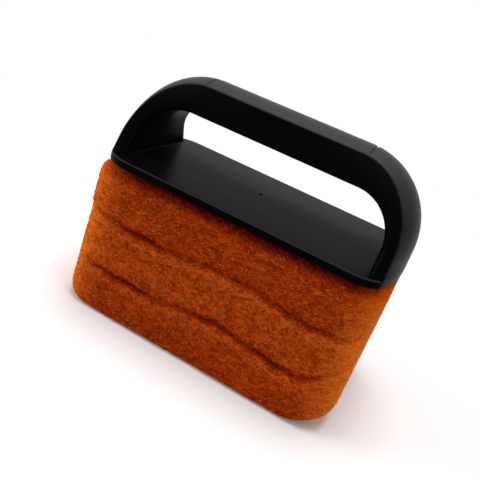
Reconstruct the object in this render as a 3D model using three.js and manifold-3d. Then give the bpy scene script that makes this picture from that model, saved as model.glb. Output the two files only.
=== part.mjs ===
// A scouring pad with a handle: a thick block of springy non-woven abrasive
// under a moulded plastic handle, which grips it with a sheet of fine hooks.
//
// Millimetres, +Z up. The origin is the middle of the pad's underside, on the
// surface that the pad stands on. X runs along the handle and -Y is the front.

import * as THREE from 'three';
import { mergeVertices } from 'three/addons/utils/BufferGeometryUtils.js';
import Module from 'manifold-3d';

const wasm = await Module();
wasm.setup();

// The pad: layers of lofty web, bonded into one block
const PAD_LENGTH = 150;
const PAD_DEPTH = 73; // at the top, under the plate
const PAD_SPREAD = 4.5; // each long side stands this much further out at the bottom
const LAYER_COUNT = 3;
const LAYER_THICKNESS = 25;
const PAD_CORNER_RADIUS = 14.5; // the four upright corners, seen from above
const PAD_TOE_RADIUS = 14; // worn lower end on the right
const PAD_HEEL_RADIUS = 7.5; // lower end on the left, which has kept its shape
const PAD_EDGE_RADIUS = 3; // long lower edges
const PAD_RIM_RADIUS = 4; // upper edge, all round
const BOND_DEPTH = 1.6; // how far the web pulls in along a bond line
const BOND_WIDTH = 2.2;
const BOND_WAVE = 1.9; // how far a bond line wanders up and down
const BOND_TURNS = 1.7; // waves of that wandering along the pad
const BOND_CREST = 8; // one crest lies this far to the right of the middle
const BOND_END = 12; // a bond line stops this far from the pad's ends
const BOND_FADE = 16; // and dies out over this length before it

// The base plate of the handle, which covers the top of the pad
const PLATE_THICKNESS = 4;
const PLATE_CORNER_RADIUS = 17;
const PLATE_EDGE_RADIUS = 0.7;
const END_CROWN = 5.4; // how far each end bows out at its middle

// The grip, a D-shaped bow that stands on the two ends of the plate
const GRIP_HEIGHT = 42; // plate top to the grip's long top edges
const GRIP_STRAIGHT = 77; // the straight stretch along the top
const GRIP_SHOULDER = 34.5; // height of the rounded shoulder
const GRIP_WIDTH = 22.5; // across the top
const GRIP_CROWN = 2.4; // how far the top bows up across its width
const FOOT_SETBACK = 6; // foot's front face behind the plate's front edge
const LEG_THICKNESS = 6.8;
const OUTER_EDGE_RADIUS = 0.8;

// The finger opening under the grip
const OPENING_HEIGHT = 27.8;
const OPENING_STRAIGHT = 85;
const OPENING_SHOULDER = 19.5;
const INNER_EDGE_RADIUS = 4;
const FOOT_FILLET = 1.5;

// The sheet of hooks in the underside of the plate
const SHEET_THICKNESS = 1.2;
const SHEET_MARGIN = 6; // from the plate's edges to the sheet
const SHEET_CORNER_RADIUS = 8;
const CLEARANCE = 0.3; // between pieces that lie on each other

// Levels and half sizes that follow from the sizes above
const PAD_HEIGHT = LAYER_COUNT * LAYER_THICKNESS;
const PLATE_BOTTOM = PAD_HEIGHT + CLEARANCE;
const PLATE_TOP = PLATE_BOTTOM + PLATE_THICKNESS;
const PLATE_LENGTH = PAD_LENGTH;
const PLATE_DEPTH = PAD_DEPTH;
const PLATE_SIDE = PLATE_DEPTH / 2;
const FOOT_SIDE = PLATE_SIDE - FOOT_SETBACK;
const FOOT_END = PLATE_LENGTH / 2 - END_CROWN; // where a leg's long edges stand
const OPENING_END = FOOT_END - LEG_THICKNESS;

// How finely the curves are cut
const SHOULDER_STEPS = 14;
const TOP_STEPS = 6;
const FILLET_STEPS = 4;
const CROWN_STEPS = 10;
const EDGE_STEPS = 2;
const CORNER_STEPS = 6;
const LAYER_ROWS = 10; // up each layer of the pad
const SIDE_STEPS = 26; // along a long side of the pad
const END_STEPS = 4; // across an end of the pad
const MERGE_DISTANCE = 1e-4; // points this close are one point

const quarter = Math.PI / 2;

function mesh(name, geometry, color, roughness) {
  const material = new THREE.MeshStandardMaterial({ color, roughness, metalness: 0 });
  const result = new THREE.Mesh(geometry, material);
  result.name = name;
  return result;
}

// A closed body from rings of points, each ring with the same number of
// points, joined one to the next and closed with a fan at each end.
function loft(rings) {
  const count = rings[0].length;
  const positions = [];
  const index = [];
  for (const ring of rings) {
    for (const point of ring) positions.push(point.x, point.y, point.z);
  }
  for (let level = 0; level + 1 < rings.length; level += 1) {
    for (let i = 0; i < count; i += 1) {
      const a = level * count + i;
      const b = level * count + ((i + 1) % count);
      index.push(a, b, b + count);
      index.push(a, b + count, a + count);
    }
  }
  for (const [level, turned] of [[0, true], [rings.length - 1, false]]) {
    const middle = new THREE.Vector3();
    for (const point of rings[level]) middle.addScaledVector(point, 1 / count);
    const centre = positions.length / 3;
    positions.push(middle.x, middle.y, middle.z);
    for (let i = 0; i < count; i += 1) {
      const a = level * count + i;
      const b = level * count + ((i + 1) % count);
      index.push(centre, turned ? b : a, turned ? a : b);
    }
  }
  const geometry = new THREE.BufferGeometry();
  geometry.setAttribute('position', new THREE.Float32BufferAttribute(positions, 3));
  geometry.setIndex(index);
  return geometry;
}

// A solid that can be joined and cut
function solid(geometry) {
  const bare = geometry.clone();
  bare.deleteAttribute('normal');
  bare.deleteAttribute('uv');
  const merged = mergeVertices(bare, MERGE_DISTANCE);
  return new wasm.Manifold(new wasm.Mesh({
    numProp: 3,
    vertProperties: new Float32Array(merged.getAttribute('position').array),
    triVerts: new Uint32Array(merged.getIndex().array),
  }));
}

function geometryOf(body) {
  const { vertProperties, triVerts } = body.getMesh();
  const geometry = new THREE.BufferGeometry();
  geometry.setAttribute('position', new THREE.BufferAttribute(vertProperties, 3));
  geometry.setIndex(new THREE.BufferAttribute(triVerts, 1));
  return geometry;
}

// How far an arc over the chord from -half to half, with a rise of crown at
// its middle, stands above the chord at y.
function archRise(y, half, crown) {
  const radius = (half * half + crown * crown) / (2 * crown);
  return Math.sqrt(radius * radius - y * y) - Math.sqrt(radius * radius - half * half);
}

// Half the depth of the grip at a height above the plate: its front and back
// faces are flat and lean towards each other.
function gripSide(height) {
  return FOOT_SIDE + (GRIP_WIDTH / 2 - FOOT_SIDE) * (height / GRIP_HEIGHT);
}

// How far the outside of the grip bows out at a height above the plate
function gripCrown(height) {
  const share = Math.min(Math.max(height / GRIP_HEIGHT, 0), 1);
  return END_CROWN + (GRIP_CROWN - END_CROWN) * share * share;
}

// The right half of the bow, from the middle of the top down to the foot, as
// pairs of points in X and Z: one on the outer edge, with the direction that
// the outside faces there, and one on the edge of the opening.
function gripStations() {
  const stations = [];
  const shoulder = FOOT_END - GRIP_STRAIGHT / 2;
  const openingShoulder = OPENING_END - OPENING_STRAIGHT / 2;
  for (let i = 0; i <= TOP_STEPS; i += 1) {
    const share = i / TOP_STEPS;
    stations.push({
      outer: new THREE.Vector2((GRIP_STRAIGHT / 2) * share, GRIP_HEIGHT),
      facing: new THREE.Vector2(0, 1),
      inner: new THREE.Vector2((OPENING_STRAIGHT / 2) * share, OPENING_HEIGHT),
    });
  }
  for (let i = 1; i <= SHOULDER_STEPS; i += 1) {
    const angle = (i / SHOULDER_STEPS) * quarter;
    const across = Math.sin(angle);
    const up = Math.cos(angle);
    stations.push({
      outer: new THREE.Vector2(
        GRIP_STRAIGHT / 2 + shoulder * across,
        GRIP_HEIGHT - GRIP_SHOULDER * (1 - up),
      ),
      facing: new THREE.Vector2(across / shoulder, up / GRIP_SHOULDER).normalize(),
      inner: new THREE.Vector2(
        OPENING_STRAIGHT / 2 + openingShoulder * across,
        OPENING_HEIGHT - OPENING_SHOULDER * (1 - up),
      ),
    });
  }
  const upright = new THREE.Vector2(1, 0);
  for (let i = 0; i <= FILLET_STEPS; i += 1) {
    const angle = (i / FILLET_STEPS) * quarter;
    const height = FOOT_FILLET * (1 - Math.sin(angle));
    stations.push({
      outer: new THREE.Vector2(FOOT_END, height),
      facing: upright,
      inner: new THREE.Vector2(OPENING_END - FOOT_FILLET * (1 - Math.cos(angle)), height),
    });
  }
  const root = PLATE_EDGE_RADIUS - PLATE_THICKNESS;
  stations.push({
    outer: new THREE.Vector2(FOOT_END, root),
    facing: upright,
    inner: new THREE.Vector2(OPENING_END - FOOT_FILLET, root),
  });
  return stations;
}

// One ring round the bow: the crowned outside, a crisp edge, the leaning side
// and a wide round edge at the opening, on the front half and then the back.
function gripRing({ outer, facing, inner }) {
  const inward = new THREE.Vector2().subVectors(inner, outer);
  const thickness = inward.length();
  inward.normalize();
  const half = gripSide(Math.max(outer.y, 0));
  const crown = gripCrown(outer.y);
  const band = half - OUTER_EDGE_RADIUS;
  const ring = [];
  const place = (depth, side, rise) => {
    const x = outer.x + inward.x * depth + facing.x * rise;
    const z = outer.y + inward.y * depth + facing.y * rise;
    ring.push(new THREE.Vector3(x, side, z));
  };
  // how much deeper the side face stands at a depth below the outer edge
  const sideAt = (depth) => gripSide(Math.max(outer.y + inward.y * depth, 0));
  for (let i = 0; i <= CROWN_STEPS; i += 1) {
    const y = band * ((2 * i) / CROWN_STEPS - 1);
    place(0, y, archRise(y, half, crown));
  }
  for (const side of [1, -1]) {
    const arcs = [];
    for (let i = 1; i <= EDGE_STEPS; i += 1) {
      const angle = (i / EDGE_STEPS) * quarter;
      const depth = OUTER_EDGE_RADIUS * (1 - Math.cos(angle));
      const back = OUTER_EDGE_RADIUS * (1 - Math.sin(angle));
      const rise = archRise(band, half, crown) * (1 - i / EDGE_STEPS);
      arcs.push([depth, sideAt(depth) - back, rise]);
    }
    for (let i = 0; i <= FILLET_STEPS; i += 1) {
      const angle = (i / FILLET_STEPS) * quarter;
      const depth = thickness - INNER_EDGE_RADIUS * (1 - Math.sin(angle));
      const back = INNER_EDGE_RADIUS * (1 - Math.cos(angle));
      arcs.push([depth, sideAt(depth) - back, 0]);
    }
    if (side < 0) arcs.reverse();
    for (const [depth, y, rise] of arcs) place(depth, side * y, rise);
  }
  return ring;
}

function makeGrip() {
  const right = gripStations();
  const left = right.slice(1).map(({ outer, facing, inner }) => ({
    outer: new THREE.Vector2(-outer.x, outer.y),
    facing: new THREE.Vector2(-facing.x, facing.y),
    inner: new THREE.Vector2(-inner.x, inner.y),
  }));
  const geometry = loft([...right.reverse(), ...left].map(gripRing));
  geometry.translate(0, 0, PLATE_TOP);
  return geometry;
}

// The plate from above: long straight sides, a rounded corner that stops at
// the foot's edge, and an end that bows out between the two edges of the foot.
function plateOutline() {
  const drop = PLATE_CORNER_RADIUS - FOOT_SETBACK;
  const reach = Math.sqrt(PLATE_CORNER_RADIUS ** 2 - drop ** 2);
  const corner = new THREE.Vector2(FOOT_END - reach, PLATE_SIDE - PLATE_CORNER_RADIUS);
  const sweep = Math.atan2(reach, drop);
  const quadrant = [];
  for (let i = 0; i <= CROWN_STEPS / 2; i += 1) {
    const y = (FOOT_SIDE - OUTER_EDGE_RADIUS) * ((2 * i) / CROWN_STEPS);
    quadrant.push([FOOT_END + archRise(y, FOOT_SIDE, END_CROWN), y]);
  }
  for (let i = CORNER_STEPS; i >= 0; i -= 1) {
    const angle = (i / CORNER_STEPS) * sweep;
    quadrant.push([
      corner.x + PLATE_CORNER_RADIUS * Math.sin(angle),
      corner.y + PLATE_CORNER_RADIUS * Math.cos(angle),
    ]);
  }
  const back = quadrant.slice(1).reverse();
  const outline = [
    ...quadrant,
    ...back.map(([x, y]) => [-x, y]),
    ...quadrant.map(([x, y]) => [-x, -y]),
    ...back.map(([x, y]) => [x, -y]),
  ];
  return new THREE.Shape(outline.map(([x, y]) => new THREE.Vector2(x, y)));
}

function makePlate() {
  const geometry = new THREE.ExtrudeGeometry(plateOutline(), {
    depth: PLATE_THICKNESS - 2 * PLATE_EDGE_RADIUS,
    bevelEnabled: true,
    bevelThickness: PLATE_EDGE_RADIUS,
    bevelSize: PLATE_EDGE_RADIUS,
    bevelOffset: -PLATE_EDGE_RADIUS,
    bevelSegments: EDGE_STEPS,
  });
  geometry.translate(0, 0, PLATE_BOTTOM + PLATE_EDGE_RADIUS);
  return geometry;
}

// A flat sheet with round corners, lying from one level to another
function roundedSheet(length, depth, radius, low, high) {
  const x = length / 2;
  const y = depth / 2;
  const shape = new THREE.Shape();
  shape.absarc(x - radius, y - radius, radius, 0, quarter);
  shape.absarc(radius - x, y - radius, radius, quarter, 2 * quarter);
  shape.absarc(radius - x, radius - y, radius, 2 * quarter, 3 * quarter);
  shape.absarc(x - radius, radius - y, radius, 3 * quarter, 4 * quarter);
  const geometry = new THREE.ExtrudeGeometry(shape, {
    depth: high - low,
    bevelEnabled: false,
    curveSegments: CORNER_STEPS,
  });
  geometry.translate(0, 0, low);
  return geometry;
}

// The handle is one moulding: the bow and the plate, with a shallow pocket in
// the underside that takes the hook sheet.
function makeHandle() {
  const pocket = roundedSheet(
    PLATE_LENGTH - 2 * (SHEET_MARGIN - CLEARANCE),
    PLATE_DEPTH - 2 * (SHEET_MARGIN - CLEARANCE),
    SHEET_CORNER_RADIUS + CLEARANCE,
    PLATE_BOTTOM - CLEARANCE,
    PLATE_BOTTOM + SHEET_THICKNESS + CLEARANCE,
  );
  return geometryOf(solid(makeGrip()).add(solid(makePlate())).subtract(solid(pocket)));
}

function makeHookSheet() {
  return roundedSheet(
    PLATE_LENGTH - 2 * SHEET_MARGIN,
    PLATE_DEPTH - 2 * SHEET_MARGIN,
    SHEET_CORNER_RADIUS,
    PLATE_BOTTOM,
    PLATE_BOTTOM + SHEET_THICKNESS,
  );
}

// How far in the surface stands at a height above the flat face that a round
// edge of this radius starts from.
function edgeInset(height, radius) {
  const short = Math.max(radius - height, 0);
  return radius - Math.sqrt(radius * radius - short * short);
}

// The height of a bond line, which waves up and down as it runs along the pad.
// The lines numbered 0 and LAYER_COUNT are the flat bottom and top.
function bondHeight(bond, x) {
  const level = bond * LAYER_THICKNESS;
  if (bond === 0 || bond === LAYER_COUNT) return level;
  const turns = (BOND_TURNS * (x - BOND_CREST)) / PAD_LENGTH;
  return level + BOND_WAVE * Math.cos(2 * Math.PI * turns);
}

// How far the long sides pull in at a point: most on the nearest bond line,
// and nothing near the two ends.
function bondPull(x, z) {
  const inner = PAD_LENGTH / 2 - BOND_END - Math.abs(x);
  const fade = THREE.MathUtils.smoothstep(inner, 0, BOND_FADE);
  let pull = 0;
  for (let bond = 1; bond < LAYER_COUNT; bond += 1) {
    const away = (z - bondHeight(bond, x)) / BOND_WIDTH;
    pull += BOND_DEPTH * Math.exp(-away * away);
  }
  return fade * pull;
}

// One ring of the pad. It runs round the rounded rectangle that the pad is
// from above, and keeps the same share of the way up a layer all round.
function padRing(layer, share) {
  const flat = (layer + share) * LAYER_THICKNESS;
  const rim = edgeInset(PAD_HEIGHT - flat, PAD_RIM_RADIUS);
  const right = PAD_LENGTH / 2 - Math.max(edgeInset(flat, PAD_TOE_RADIUS), rim);
  const left = PAD_LENGTH / 2 - Math.max(edgeInset(flat, PAD_HEEL_RADIUS), rim);
  const spread = PAD_SPREAD * (1 - flat / PAD_HEIGHT);
  const side = PAD_DEPTH / 2 + spread - Math.max(edgeInset(flat, PAD_EDGE_RADIUS), rim);
  const radius = PAD_CORNER_RADIUS;
  const plan = [];
  const run = (fromX, fromY, toX, toY, steps) => {
    for (let i = 0; i < steps; i += 1) {
      const way = i / steps;
      plan.push([fromX + (toX - fromX) * way, fromY + (toY - fromY) * way]);
    }
  };
  const turn = (centreX, centreY, start) => {
    for (let i = 0; i < CORNER_STEPS; i += 1) {
      const angle = start + (i / CORNER_STEPS) * quarter;
      plan.push([centreX + radius * Math.cos(angle), centreY + radius * Math.sin(angle)]);
    }
  };
  run(right, radius - side, right, side - radius, END_STEPS);
  turn(right - radius, side - radius, 0);
  run(right - radius, side, radius - left, side, SIDE_STEPS);
  turn(radius - left, side - radius, quarter);
  run(-left, side - radius, -left, radius - side, END_STEPS);
  turn(radius - left, radius - side, 2 * quarter);
  run(radius - left, -side, right - radius, -side, SIDE_STEPS);
  turn(right - radius, radius - side, 3 * quarter);
  return plan.map(([x, y]) => {
    const low = bondHeight(layer, x);
    const z = low + (bondHeight(layer + 1, x) - low) * share;
    return new THREE.Vector3(x, y - Math.sign(y) * bondPull(x, z), z);
  });
}

// The rings lie close together at each bond line and at the pad's edges, and
// further apart in the middle of each layer.
function makePad() {
  const rings = [];
  for (let layer = 0; layer < LAYER_COUNT; layer += 1) {
    for (let i = 0; i < LAYER_ROWS; i += 1) {
      rings.push(padRing(layer, (1 - Math.cos((i / LAYER_ROWS) * Math.PI)) / 2));
    }
  }
  rings.push(padRing(LAYER_COUNT - 1, 1));
  return loft(rings);
}

const pad = new THREE.Group();
pad.add(mesh('pad', makePad(), 0xa8480f, 1));

const handle = new THREE.Group();
handle.add(mesh('handle', makeHandle(), 0x1b1d1c, 0.35));
handle.add(mesh('hook_sheet', makeHookSheet(), 0x101010, 0.7));

const scouringPad = new THREE.Group();
scouringPad.add(pad, handle);

export default scouringPad;
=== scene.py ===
# %% [markdown]
# # A scouring pad with a handle
#
# The object is a thick block of springy abrasive web under a black moulded handle. The packed
# model gives the frame: every piece made here lies where that model says, in metres, with +Z up
# and the pad's underside at zero. This file adds what makes the two materials recognisable: a
# smooth moulding with crisp edges, and a block of matted fibres.

import bpy
import numpy as np
from mathutils import Matrix, Vector


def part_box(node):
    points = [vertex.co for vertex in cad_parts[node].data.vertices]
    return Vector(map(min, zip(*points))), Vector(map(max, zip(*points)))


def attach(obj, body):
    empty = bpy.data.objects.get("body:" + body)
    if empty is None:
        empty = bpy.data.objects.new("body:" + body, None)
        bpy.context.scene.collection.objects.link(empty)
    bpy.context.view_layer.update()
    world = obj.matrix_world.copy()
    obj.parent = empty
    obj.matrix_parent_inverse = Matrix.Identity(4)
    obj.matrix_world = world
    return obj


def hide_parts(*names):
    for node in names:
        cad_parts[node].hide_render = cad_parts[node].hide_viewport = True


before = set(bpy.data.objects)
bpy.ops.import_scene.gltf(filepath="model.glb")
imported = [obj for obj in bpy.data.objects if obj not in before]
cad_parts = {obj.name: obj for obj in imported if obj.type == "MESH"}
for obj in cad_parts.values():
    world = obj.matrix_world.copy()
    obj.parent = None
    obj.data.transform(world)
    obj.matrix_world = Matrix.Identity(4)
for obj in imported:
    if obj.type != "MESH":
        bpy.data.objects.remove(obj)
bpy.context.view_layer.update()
MM = 0.001

pad_low, pad_high = np.array(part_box("pad")) / MM
handle_low, handle_high = np.array(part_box("handle")) / MM
print("pad", pad_low, pad_high, "handle", handle_low, handle_high)

# %% [markdown]
# ## Camera
#
# A photograph's viewpoint can be found from the object in it: parallel edges of a box meet at
# three vanishing points, and these fix where the camera stood and how wide it looked. Here it
# stood to the right of the middle and a little above the grip, and it was tilted on its own
# axis, which is why the object seems to lean.

# %% Camera
CAMERA_PLACE = Vector((75.0, -259.9, 172.3)) * MM
CAMERA_AIM = Vector((-3.7, 0.0, 53.3)) * MM
CAMERA_TILT = np.radians(19.74)
SENSOR = 36.0
FOCAL_LENGTH = 43.6


def aim_camera():
    """Looks from the place at the aim, then turns about the line of sight by the tilt."""
    data = bpy.data.cameras.new("camera")
    data.sensor_width = SENSOR
    data.lens = FOCAL_LENGTH
    camera = bpy.data.objects.new("camera", data)
    bpy.context.scene.collection.objects.link(camera)
    level = (CAMERA_AIM - CAMERA_PLACE).to_track_quat("-Z", "Y").to_matrix()
    turned = level @ Matrix.Rotation(CAMERA_TILT, 3, "Z")
    camera.matrix_world = Matrix.Translation(CAMERA_PLACE) @ turned.to_4x4()
    bpy.context.scene.camera = camera
    return camera


camera = aim_camera()
print("camera at", [round(c, 4) for c in camera.location])

# %% [markdown]
# ## Meshes from arrays
#
# Every new surface below is worked out with numpy, as a grid of points in millimetres, because
# Blender can take such arrays whole, which is far quicker than one vertex at a time. A grid that
# closes on itself becomes a tube, and a flat cap at each end turns the tube into a solid.

# %% Faces of a tube


def tube_faces(rings, count):
    """Quads that join each ring of count points to the next one, closing round the ring."""
    ring = np.arange(count)
    after = np.roll(ring, -1)
    base = (np.arange(rings - 1) * count)[:, None]
    corners = [base + ring, base + after, base + after + count, base + ring + count]
    return np.stack(corners, -1).reshape(-1, 4)


def closed_loft(rings):
    """A solid from an array of rings, shape (rings, points, 3), with a flat face at each end: its
    points, and its faces as arrays with equal corner counts."""
    levels, count = rings.shape[:2]
    last = np.arange(count) + (levels - 1) * count
    caps = np.stack([np.arange(count)[::-1], last])
    return rings.reshape(-1, 3), [tube_faces(levels, count), caps]


print("three rings of four points are joined by", len(tube_faces(3, 4)), "faces")

# %% A piece from arrays


def new_piece(name, solid, tone=None):
    """A mesh object from a solid in millimetres. Each point may also have a tone, a number that
    its material reads."""
    points, faces = solid
    corners = np.concatenate([part.ravel() for part in faces])
    totals = np.concatenate([np.full(len(part), part.shape[1]) for part in faces])
    mesh = bpy.data.meshes.new(name)
    mesh.vertices.add(len(points))
    mesh.vertices.foreach_set("co", (points * MM).astype(np.float32).ravel())
    mesh.loops.add(len(corners))
    mesh.loops.foreach_set("vertex_index", corners.astype(np.int32))
    mesh.polygons.add(len(totals))
    mesh.polygons.foreach_set("loop_start", (np.cumsum(totals) - totals).astype(np.int32))
    mesh.update(calc_edges=True)
    mesh.validate()
    mesh.polygons.foreach_set("use_smooth", np.ones(len(mesh.polygons), dtype=bool))
    piece = bpy.data.objects.new(name, mesh)
    bpy.context.scene.collection.objects.link(piece)
    if tone is not None:
        set_tone(piece, tone)
    return piece


def set_tone(piece, tone):
    """Stores one number for each point of the piece."""
    attribute = piece.data.attributes.new("tone", "FLOAT", "POINT")
    attribute.data.foreach_set("value", np.asarray(tone, dtype=np.float32).ravel())


def triangles(piece):
    """How many triangles the piece has."""
    return sum(len(polygon.vertices) - 2 for polygon in piece.data.polygons)


# %% [markdown]
# ### Joining solids
#
# The parts of a moulding run into each other. Two solids that only overlap would leave walls inside,
# so they are joined by a Boolean modifier, and the result is one closed skin. Its edges are then
# sorted by how far the surface turns: a sharp one is shaded as an edge, and the rest as smooth.

# %% Joining and cutting
SHARP_TURN = 40


def combine(piece, added, removed):
    """Joins one solid to the piece and cuts another out of it, so that it stays one closed solid.
    Edges that turn by more than SHARP_TURN are shaded as sharp, and weighted normals keep large
    flat faces flat. Returns the solid's points in millimetres."""
    for operation, other in (("UNION", added), ("DIFFERENCE", removed)):
        step = piece.modifiers.new(operation.lower(), "BOOLEAN")
        step.operation, step.solver, step.object = operation, "EXACT", other
    depsgraph = bpy.context.evaluated_depsgraph_get()
    mesh = bpy.data.meshes.new_from_object(piece.evaluated_get(depsgraph))
    piece.modifiers.clear()
    piece.data = mesh
    for other in (added, removed):
        bpy.data.objects.remove(other)
    mesh.set_sharp_from_angle(angle=np.radians(SHARP_TURN))
    piece.modifiers.new("flat_faces", "WEIGHTED_NORMAL").keep_sharp = True
    points = np.empty(3 * len(mesh.vertices), dtype=np.float32)
    mesh.vertices.foreach_get("co", points)
    return points.reshape(-1, 3).astype(float) / MM


print("edges that turn by more than", SHARP_TURN, "degrees are sharp")

# %% [markdown]
# ## Handle
#
# The real handle is one injection moulding. A bow with a D-shaped outline stands on the two ends
# of a thin plate. Seen from the end, its faces lean towards each other; its outside is crowned
# between two crisp edges; and its inner edges are round, where fingers curl. One cross-section,
# carried along the bow, makes all of that, so the bow is a loft: at each station a ring of
# points goes over the crown, down one side, round the inner edge and back.

# %% Sizes of the handle, in millimetres
PLATE_THICKNESS = 4.0
PLATE_CORNER = 17.0
PLATE_EDGE = 0.7
END_CROWN = 5.4
GRIP_STRAIGHT = 77.0
GRIP_SHOULDER = 34.5
GRIP_WIDTH = 22.5
GRIP_CROWN = 2.4
FOOT_SETBACK = 6.0
LEG_THICKNESS = 6.8
OUTER_EDGE = 0.8
OPENING_HEIGHT = 27.8
OPENING_STRAIGHT = 85.0
OPENING_SHOULDER = 19.5
INNER_EDGE = 4.0
FOOT_FILLET = 0.6

plate_low = handle_low[2]
plate_top = plate_low + PLATE_THICKNESS
grip_height = handle_high[2] - GRIP_CROWN - plate_top
plate_side = handle_high[1]
foot_side = plate_side - FOOT_SETBACK
foot_end = handle_high[0] - END_CROWN
opening_end = foot_end - LEG_THICKNESS
print(f"grip {grip_height:.1f} mm high on a plate at {plate_top:.1f} mm")

# %% The cross-section's own curves


def arch_rise(y, half, crown):
    """Height of a circular arc over its chord: the arc's radius R is (half^2 + crown^2) / (2 crown),
    and the height at y is sqrt(R^2 - y^2) - sqrt(R^2 - half^2)."""
    radius = (half**2 + crown**2) / (2 * crown)
    return np.sqrt(radius**2 - y**2) - np.sqrt(radius**2 - half**2)


def side_at(height):
    """Half the bow's depth at a height over the plate: a straight line from foot to top."""
    height = np.maximum(height, 0)
    return foot_side + (GRIP_WIDTH / 2 - foot_side) * height / grip_height


def crown_at(height):
    """The outside's crown: END_CROWN at the foot, falling with the height squared to GRIP_CROWN."""
    share = np.clip(height / grip_height, 0, 1)
    return END_CROWN + (GRIP_CROWN - END_CROWN) * share**2


def bell(t):
    """The bell curve e^(-t^2)."""
    return np.exp(-(t**2))


print(f"half the bow's depth is {side_at(0):.1f} mm at the foot and {side_at(grip_height):.1f} on top")

# %% [markdown]
# ### The bow's path
#
# Seen from the front, both the outside and the opening are a straight line that turns down through
# a quarter of an ellipse at each end. Both are worked out at the same stations, so that each
# station gives one cross-section. Two fine seams of the mould cross the outside just past the
# straight, and stations crowd there, so that the groove has a shape.

# %% The bow's path
SEAM_PLACE = 41.0
SEAM_ANGLES = [-1.4, -0.7, -0.35, 0, 0.35, 0.7, 1.4]
TOP_CUTS = 20
SHOULDER_CUTS = 56
FILLET_CUTS = 10


def bow_path():
    """Right half of the bow, as points in X and Z: its outer edge, the way it faces there, and the
    opening's edge, which flares out in a quarter circle where it meets the plate."""
    seam = np.arcsin((SEAM_PLACE - GRIP_STRAIGHT / 2) / (foot_end - GRIP_STRAIGHT / 2))
    near_seam = seam + np.radians(SEAM_ANGLES)
    angle = np.union1d(np.linspace(0, np.pi / 2, SHOULDER_CUTS), near_seam)
    share = np.linspace(0, 1, TOP_CUTS, endpoint=False)
    across, up = np.sin(angle), np.cos(angle)
    flare = np.linspace(0, np.pi / 2, FILLET_CUTS)
    root = PLATE_EDGE - PLATE_THICKNESS
    half, inner_half = GRIP_STRAIGHT / 2, OPENING_STRAIGHT / 2
    shoulder, inner_shoulder = foot_end - half, opening_end - inner_half
    leg_height = np.append(FOOT_FILLET * (1 - np.sin(flare)), root)
    leg_inner = opening_end - FOOT_FILLET * (1 - np.cos(np.append(flare, np.pi / 2)))
    outer_x = [share * half, half + shoulder * across, leg_height * 0 + foot_end]
    outer_z = [share * 0 + grip_height, grip_height - GRIP_SHOULDER * (1 - up), leg_height]
    inner_x = [share * inner_half, inner_half + inner_shoulder * across, leg_inner]
    inner_z = [share * 0 + OPENING_HEIGHT, OPENING_HEIGHT - OPENING_SHOULDER * (1 - up), leg_height]
    facing_x = [share * 0, across / shoulder, leg_height * 0 + 1]
    facing_z = [share * 0 + 1, up / GRIP_SHOULDER, leg_height * 0]
    pair = lambda a, b: np.stack([np.concatenate(a), np.concatenate(b)], -1)
    facing = pair(facing_x, facing_z)
    facing /= np.linalg.norm(facing, axis=1, keepdims=True)
    return pair(outer_x, outer_z), facing, pair(inner_x, inner_z)


def whole_bow():
    """The right half from foot to top, followed by its mirror image from top to foot."""
    mirror = np.array([-1.0, 1.0])
    return [np.concatenate([half[::-1], half[1:] * mirror]) for half in bow_path()]


stations = whole_bow()
print("the bow has", len(stations[0]), "stations")

# %% [markdown]
# ### The bow's rings
#
# A ring is one cross-section of the bow. It has the same number of points at every station, so that
# rings join up along the path, and its points crowd at the round edges, where the shape turns.

# %% The bow's rings
SEAM_DEPTH = 0.8
SEAM_WIDTH = 0.42
CROWN_CUTS = 28
EDGE_CUTS = 4
INNER_CUTS = 10


def seam_groove(x):
    """A fine groove across the outside just past each end of the straight: a bell curve of the
    distance from the seam, SEAM_DEPTH deep."""
    return SEAM_DEPTH * bell((np.abs(x) - SEAM_PLACE) / SEAM_WIDTH)


def bow_rings(outer, facing, inner):
    """Rings of points round the bow. A point lies at a depth below the outer edge towards the
    opening, at a distance y from the middle, and raised by the crown."""
    inward = inner - outer
    thickness = np.linalg.norm(inward, axis=1, keepdims=True)
    inward = inward / thickness
    height = outer[:, 1:]
    half = side_at(height)
    band = half - OUTER_EDGE
    crown = crown_at(height)
    y_top = band * np.linspace(-1, 1, CROWN_CUTS + 1)[None]
    rise_top = arch_rise(y_top, half, crown) - seam_groove(outer[:, :1])
    edge = np.linspace(0, np.pi / 2, EDGE_CUTS + 1)[None, 1:]
    edge_depth = OUTER_EDGE * (1 - np.cos(edge)) + 0 * half
    edge_back = OUTER_EDGE * (1 - np.sin(edge))
    edge_rise = arch_rise(band, half, crown) * np.linspace(1, 0, EDGE_CUTS + 1)[None, 1:]
    turn = np.linspace(0, np.pi / 2, INNER_CUTS + 1)[None]
    turn_depth = thickness - INNER_EDGE * (1 - np.sin(turn))
    turn_back = INNER_EDGE * (1 - np.cos(turn))
    depth = np.concatenate([edge_depth, turn_depth], 1)
    back = np.concatenate([edge_back + 0 * half, turn_back + 0 * half], 1)
    rise = np.concatenate([edge_rise, 0 * turn_depth], 1)
    y_side = side_at(height + inward[:, 1:] * depth) - back
    y = np.concatenate([y_top, y_side, -y_side[:, ::-1]], 1)
    depth = np.concatenate([0 * y_top, depth, depth[:, ::-1]], 1)
    rise = np.concatenate([rise_top, rise, rise[:, ::-1]], 1)
    x = outer[:, :1] + inward[:, :1] * depth + facing[:, :1] * rise
    z = outer[:, 1:] + inward[:, 1:] * depth + facing[:, 1:] * rise
    return np.stack([x, y, z + plate_top], -1)


bow = closed_loft(bow_rings(*stations))
print("the bow has", len(bow[0]), "points")

# %% [markdown]
# ### Base plate
#
# The plate's outline is straight along the front, turns in an arc at each corner, and bows out
# between the two edges of each foot. Its edge is rounded a little, which catches the light as a
# thin line along the front. The solid is a stack of outlines, each moved
# inwards by what the round edge takes off at its height. Underneath, a shallow pocket holds the
# sheet of hooks.

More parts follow.
